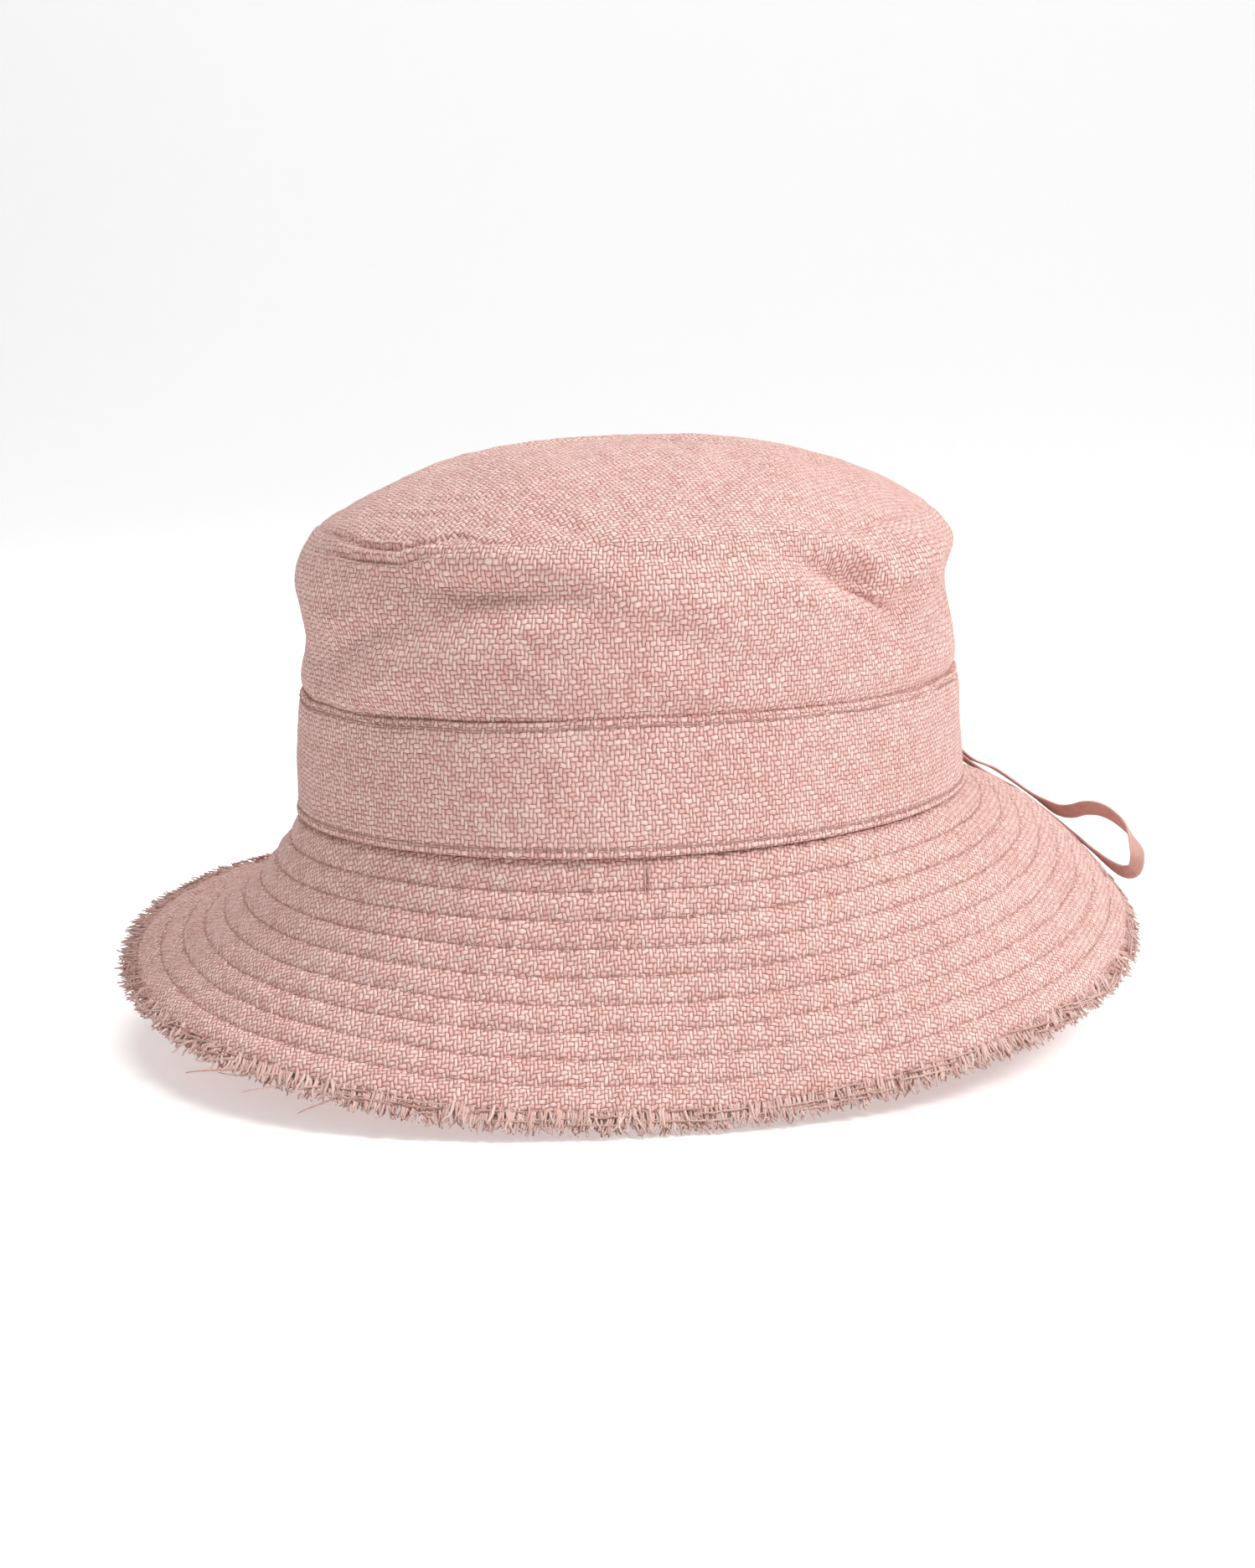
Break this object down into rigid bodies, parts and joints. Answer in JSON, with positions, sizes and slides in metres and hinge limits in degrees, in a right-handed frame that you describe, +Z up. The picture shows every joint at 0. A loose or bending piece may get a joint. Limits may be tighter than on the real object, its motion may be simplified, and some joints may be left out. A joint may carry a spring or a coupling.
{
  "type": "bucket hat",
  "caption": "Soft woven bucket hat with a rounded crown, folded hat band, quilted bell brim with a frayed edge and a tie strap bow at the back",
  "frame": {"origin": "centre of the head opening, in the plane where the hat band's lower fold meets the brim", "axes": "+Z up through the crown, -Y the front of the hat, +Y the back, where the strap is tied; +X the wearer's left"},
  "size_m": [0.2803, 0.3064, 0.1682],
  "materials": {
    "canvas": "coarse pink twill weave",
    "lining": "smooth plain cotton",
    "interlining": "stiff felted interlining",
    "thread": "matt sewing thread",
    "strap": "smooth narrow tape"
  },
  "bodies": {
    "hat": {"crown_tip": "canvas", "crown_side": "canvas", "tip_lining": "lining", "side_lining": "lining", "sweatband": "lining", "hat_band": "canvas", "band_stitch_top": "thread", "band_stitch_bottom": "thread", "brim_upper": "canvas", "brim_interlining": "interlining", "brim_under": "canvas", "brim_stitch_1": "thread", "brim_stitch_2": "thread", "brim_stitch_3": "thread", "brim_stitch_4": "thread", "brim_stitch_5": "thread", "brim_stitch_6": "thread", "brim_stitch_7": "thread", "brim_stitch_8": "thread", "brim_stitch_9": "thread", "tie_in_band": "strap", "tie_knot": "strap"},
    "loop_right": {"tie_loop_right": "strap"},
    "loop_left": {"tie_loop_left": "strap"},
    "tail_right": {"tie_tail_right": "strap"},
    "tail_left": {"tie_tail_left": "strap"}
  },
  "joints": [
    {"name": "loop_right_lift", "type": "hinge", "parent": "hat", "child": "loop_right", "pos_m": [0.0045, 0.1029, 0.0206], "axis": [0, -1, 0], "range_deg": [0, 65]},
    {"name": "loop_left_lift", "type": "hinge", "parent": "hat", "child": "loop_left", "pos_m": [-0.0045, 0.1029, 0.0206], "axis": [0, 1, 0], "range_deg": [0, 65]},
    {"name": "tail_right_lift", "type": "hinge", "parent": "hat", "child": "tail_right", "pos_m": [0, 0.1089, 0.0197], "axis": [1, 0, 0], "range_deg": [0, 65]},
    {"name": "tail_left_lift", "type": "hinge", "parent": "hat", "child": "tail_left", "pos_m": [0, 0.1089, 0.0197], "axis": [1, 0, 0], "range_deg": [0, 65]}
  ]
}
